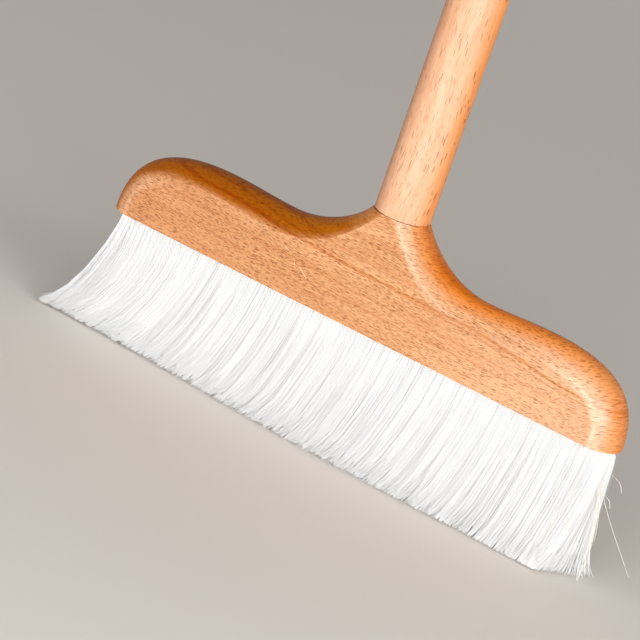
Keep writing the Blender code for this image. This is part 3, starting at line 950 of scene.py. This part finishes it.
def strand_paths(tuft, a, across, levels, swing, rise, locked=False):
    """Points of strands at a (-1 to 1 along X) and across (0 to 1 from front to back). swing is the
    sway of the tip and the bow in X and Y and, if locked, the shares of fringe and notch."""
    b = np.clip(across * 2 - 1, -1, 1)
    inner_a = np.clip(a, -1, 1)
    widening = (RIGHT_WIDENING if tuft.side > 0 else LEFT_WIDENING)[0 if tuft.front else 1]
    wide = tuft.pitch * CELL_SHARE + widening * np.clip(a * tuft.side, 0, 1)
    cell_x = tuft.x + a * wide
    root_x = tuft.x + inner_a * np.sqrt(1 - b * b / 2) * ROOT_RADIUS
    root_y = tuft.y + b * np.sqrt(1 - inner_a**2 / 2) * ROOT_RADIUS
    if tuft.front:
        tip_y = -look_up(cell_x, FIELD, 2) * (1 - across) + TIPS_CROSS * across
        mid_low, mid_high = -(ROW_Y + HOLE_RADIUS), ROWS_CROSS
    else:
        tip_y = look_up(cell_x, FIELD, 3) * across - TIPS_CROSS * (1 - across)
        mid_low, mid_high = -ROWS_CROSS, ROW_Y + HOLE_RADIUS
    sweep = look_up(cell_x, FIELD, 1)
    sweep = sweep + look_up(tip_y, END_SWEEP) * ramp(cell_x, *END_SWEEP_PLACE)
    spread_y = mid_low + (mid_high - mid_low) * across
    shift_x, shift_y = np.zeros(len(a)), np.zeros(len(a))
    for length, push_x, push_y, phase, lean in LOCK_WAVES:
        turn = math.tau * cell_x * 1000 / length + phase + lean * spread_y * 1000
        shift_x -= 0.001 * push_x * np.sin(turn)
        shift_y += 0.001 * push_y * np.cos(turn * 0.93 + 1.0)
    tip_z = look_up(cell_x, FIELD, 4) + rise
    if locked:
        lock_x, lock_y, shorter, splay = fine_locks(cell_x, spread_y)
        # strands at the edges of a lock end higher, so that the lock has a point
        edge = np.clip(np.abs(cell_x - lock_x) / (LOCK_WIDTH * 0.5), 0, 1)
        shorter = shorter + LOCK_NOTCH * edge**1.5 * (0.25 + 0.75 * swing[:, 5] ** 1.5)
    curve = SWEEP_CURVE
    for more, start, length in SWEEP_CURVE_LEFT:
        curve = curve + more * ramp(-cell_x, start, length)
    points = np.zeros((len(a), len(levels), 3))
    for step, level in enumerate(levels):
        t = max(level, 0.0)
        opened = 0.5 + 0.5 * (1 - (1 - min(t / OPENING, 1.0)) ** 2) if level >= 0 else 0.0
        bow = math.sin(math.pi * t)
        px = root_x + (cell_x - root_x) * opened + sweep * t**curve
        py = root_y + (spread_y - root_y) * opened + (tip_y - spread_y) * t**REACH_CURVE
        px = px + shift_x * t**0.8 + swing[:, 0] * t + swing[:, 2] * bow
        py = py + shift_y * t**0.9 + swing[:, 1] * t + swing[:, 3] * bow
        pz = UNDERSIDE_Z - level * UNDERSIDE_Z + tip_z * t**2
        if locked and t > LOCK_FROM:
            pull = LOCK_PULL + LOCK_PULL * splay / SPLAY_MOST
            pull = pull * ((t - LOCK_FROM) / LOCK_RUN) ** 2
            px = px + (lock_x - cell_x) * pull
            py = py + (lock_y - spread_y) * pull
            pz = pz + shorter * t**4
        points[:, step] = np.stack([px, py, pz], 1)
    if locked:
        # locks and single strands splay out over the floor
        heading = unit(points[:, -1, :2] - points[:, -3, :2])
        for step, level in enumerate(levels):
            share = max(0.0, (level - levels[-3]) / (1.0 - levels[-3])) ** 2
            outwards = ((splay + FRINGE * swing[:, 4]) * share)[:, None]
            points[:, step, :2] += heading * outwards
    points[:, :, 0] = np.clip(points[:, :, 0], -FURTHEST_X, FURTHEST_X)
    points[:, :, 1] = np.clip(points[:, :, 1], -FURTHEST_Y, FURTHEST_Y)
    return points, cell_x


def tubes(points, radii, rng):
    """Closed thin tubes along rows of points."""
    count, rings = points.shape[:2]
    angles = np.arange(STRAND_SIDES) * math.tau / STRAND_SIDES
    angles = angles + rng.uniform(0, math.tau, count)[:, None]
    around = np.stack([np.cos(angles), np.sin(angles), np.zeros_like(angles)], -1)
    verts = points[:, :, None, :] + around[:, None, :, :] * radii[None, :, None, None]
    per = rings * STRAND_SIDES
    one = tube_faces(rings, STRAND_SIDES)
    faces = [tuple(strand * per + v for v in face) for strand in range(count) for face in one]
    normals = np.broadcast_to(around[:, None, :, :], (count, rings, STRAND_SIDES, 3))
    return verts.reshape(-1, 3), faces, normals.reshape(-1, 3), per


def loose_strands(tuft, rng):
    """A tuft's strands: points, faces, normals, ways out of the brush, tint, cream and height."""
    # even places in the cell of the tuft, denser towards the outside of the brush
    count = tuft.strands
    a, b = even_places(count, rng)
    if tuft.side:
        a = tuft.side * (1 - 2 * ((1 - tuft.side * a) / 2) ** SKIN_POWER)
    across = (b + 1) / 2
    across = across**SKIN_POWER if tuft.front else 1 - (1 - across) ** SKIN_POWER
    unruly = UNRULY_LEFT if tuft.side < 0 else 1.0
    sway = rng.normal(0, STRAND_SWAY * unruly, (count, 2))
    bow = rng.normal(0, STRAND_BOW * unruly, (count, 2))
    fringe, notch = rng.uniform(0.0, 1.0, (count, 1)) ** 3, rng.uniform(0.0, 1.0, (count, 1))
    swing = np.hstack([sway, bow, fringe, notch])
    rise = rng.gamma(*SHORTNESS, count)
    points, cell_x = strand_paths(tuft, a, across, STRAND_LEVELS, swing, rise, locked=True)
    odd = rng.uniform(0, 1, count) < ODD_SHARE
    cream = creamy(cell_x) * CREAM_STRANDS + odd * CREAM_ODD
    if tuft.side > 0 and tuft.front:
        loose, loose_tints = stray_paths()
        count += len(loose)
        points = np.concatenate([points, loose])
        cell_x = np.append(cell_x, loose[:, -1, 0])
        across = np.append(across, np.zeros(len(loose)))
        cream = np.append(cream, loose_tints)
    levels = np.clip(STRAND_LEVELS, 0, 1)
    thinning = 1.0 - TAPER * (levels - TAPER_FROM) / TAPER_RUN
    radii = STRAND_RADIUS * np.where(levels < TAPER_FROM, 1.0, thinning)
    verts, faces, normals, per = tubes(points, radii, rng)
    outward = np.zeros((count, 3))
    outward[:, 0] = ramp(cell_x, *END_TURN) * TURN_RIGHT - ramp(-cell_x, *END_TURN) * TURN_LEFT
    outward[:, 1] = -1.0 if tuft.front else 1.0
    inner = across if tuft.front else 1 - across
    outward[:, 1] *= 1.0 - TURN_LOSS * np.abs(outward[:, 0]) * inner
    if tuft.side < 0:
        outward[:, 1] = np.clip(across * TURN_ROUND - TURN_ROUND / 2, -1, 1)
    outward = np.repeat(unit(outward), per, axis=0)
    tint = np.repeat(np.clip(rng.beta(*TINTS, count), 0, 1), per)
    along = np.tile(np.repeat(levels, STRAND_SIDES), count)
    return verts, faces, normals, outward, tint, np.repeat(cream, per), along


def packed_core(tuft, rng):
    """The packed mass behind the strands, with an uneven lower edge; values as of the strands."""
    count = 2 * (CORE_SIDE + CORE_FLANK)
    side = np.linspace(-0.97, 0.97, CORE_SIDE)
    flank = np.linspace(-0.9, 0.9, CORE_FLANK)
    a = np.concatenate([side, np.ones(CORE_FLANK), -side, -np.ones(CORE_FLANK)]) * CORE_WIDTH
    a = np.where(a * tuft.side > 0, a * CORE_END_WIDTH, a)
    b = np.concatenate([-np.ones(CORE_SIDE), flank, np.ones(CORE_SIDE), -flank])
    across = (b + 1) / 2
    across = CORE_SKIN + (1 - CORE_SKIN) * across if tuft.front else (1 - CORE_SKIN) * across
    sway = rng.normal(0, CORE_SWAY, (count, 2))
    swing = np.hstack([sway, rng.normal(0, CORE_BOW, (count, 2))])
    ragged = np.minimum(rng.gamma(*CORE_RAGGED, count), CORE_RAGGED_MOST)
    odd_column = np.arange(count) % 2
    ragged += CORE_TOOTH * odd_column * rng.uniform(0.5, 1.0, count)
    points, cell_x = strand_paths(tuft, a, across, CORE_LEVELS, swing, ragged)
    rings = len(CORE_LEVELS)
    normals = np.stack([a, b, np.zeros(count)], 1)
    normals = unit(normals * (np.abs(normals) > CORE_EDGE))
    outward = np.zeros((count, 3))
    outward[:, 1] = b if tuft.side < 0 else (-1.0 if tuft.front else 1.0)
    end_turn = tuft.side * (1.0 if tuft.side > 0 else CORE_TURN_LEFT)
    outward[:, 0] = np.where(a * tuft.side > 0, end_turn, 0.0)
    tint = np.clip(rng.beta(*TINTS, count), 0, 1)
    return (
        points.transpose(1, 0, 2).reshape(-1, 3), tube_faces(rings, count),
        np.tile(normals, (rings, 1)), np.tile(outward, (rings, 1)),
        np.tile(tint, rings), np.tile(creamy(cell_x) * CREAM_CORE, rings),
        np.repeat(np.clip(CORE_LEVELS, 0, 1), count),
    )


def make_tuft(node, x, y, pitch, number, material):
    rng = np.random.default_rng(SEED + number)
    tuft = Tuft(x, y, pitch)
    strand_verts, faces, *strands = loose_strands(tuft, rng)
    core_verts, core_faces, *core = packed_core(tuft, rng)
    first = len(strand_verts)
    faces += [tuple(first + v for v in face) for face in core_faces]
    normals, outward, tint, cream, along = (np.concatenate(pair) for pair in zip(strands, core))
    piece = mesh_piece(
        node.replace("tuft", "bristles"), np.concatenate([strand_verts, core_verts]), faces,
        material, {"tint": tint, "cream": cream, "along": along},
    )
    # normals that lean to the outside of the whole brush, as in a dense mass of fibres
    normals = unit(normals * (1 - NORMAL_LEAN) + outward * NORMAL_LEAN)
    piece.data.normals_split_custom_set_from_vertices(normals.tolist())
    return piece


# Assembly, stage, light and camera


def assemble():
    steel = metal("zinc_steel", (0.62, 0.62, 0.60, 1.0), 0.34)
    brass = metal("insert_brass", (0.72, 0.52, 0.24, 1.0), 0.32)
    fibre = bristle_fibre()
    pieces = [
        (make_head(head_beech()), "head_block", "head", "head_beech"),
        (make_handle(handle_beech()), "handle", "handle", "handle_beech"),
        (make_stud(steel), "handle_stud", "stud", "zinc_steel"),
        (make_insert(brass), "threaded_insert", "head", "insert_brass"),
    ]
    front, back, pitch = tuft_places()
    names = [f"tuft_front_{number:02d}" for number in range(1, len(front) + 1)]
    names += [f"tuft_back_{number:02d}" for number in range(1, len(back) + 1)]
    for number, (node, (x, y)) in enumerate(zip(names, front + back)):
        pieces.append((make_tuft(node, x, y, pitch, number, fibre), node, "head", "white_fibre"))
    for piece, node, body, slot in pieces:
        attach(piece, body)
        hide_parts(node)


def make_stage():
    h = FLOOR_HALF
    mesh = bpy.data.meshes.new("floor")
    mesh.from_pydata([(-h, -h, 0), (h, -h, 0), (h, h, 0), (-h, h, 0)], [], [(0, 1, 2, 3)])
    mesh.materials.append(floor_material())
    floor = add_object("floor", mesh)
    floor.location.z = -FLOOR_DROP


def light_scene():
    for name, place, target_z, size, power, tone, in_lacquer in LIGHTS:
        data = bpy.data.lights.new(name, "AREA")
        data.shape = "RECTANGLE"
        data.size, data.size_y = size
        data.energy = power
        data.color = tone
        lamp = add_object(name, data)
        lamp.location = place
        aim = Vector((0.0, 0.0, target_z)) - Vector(place)
        lamp.rotation_euler = aim.to_track_quat("-Z", "Y").to_euler()
        lamp.visible_camera = False
        lamp.visible_glossy = in_lacquer
    # a plain grey for the camera and in reflections, and dim white light for the rest
    world = bpy.data.worlds.new("studio")
    bpy.context.scene.world = world
    n = Nodes(world, "Background")
    n.surface(Color=WORLD_TONE, Strength=WORLD_STRENGTH)
    shown = n.add("ShaderNodeBackground", Color=colour(*SHOWN_TONE), Strength=1.0).outputs[0]
    ray = n.add("ShaderNodeLightPath").outputs
    seen = n.math("MAXIMUM", ray["Is Camera Ray"], ray["Is Glossy Ray"])
    seen = n.math("MAXIMUM", seen, ray["Is Transmission Ray"])
    both = n.fill(n.add("ShaderNodeMixShader"), seen, n.shader.outputs[0], shown)
    n.set(n.tree.nodes["World Output"].inputs["Surface"], both)


def make_camera():
    data = bpy.data.cameras.new("camera")
    data.sensor_fit = "HORIZONTAL"
    data.angle = CAMERA_FIELD
    data.clip_start, data.clip_end = CAMERA_CLIP
    camera = add_object("camera", data)
    right = Vector(CAMERA_RIGHT).normalized()
    back = right.cross(Vector(CAMERA_UP)).normalized()
    up = back.cross(right).normalized()
    x, y, z = CAMERA_PLACE
    turn = Matrix((right, up, back)).transposed().to_4x4()
    camera.matrix_world = Matrix.Translation((x, y, UNDERSIDE_Z + z)) @ turn
    bpy.context.scene.camera = camera


assemble()
make_stage()
light_scene()
make_camera()
bpy.context.scene.view_settings.view_transform = "Standard"
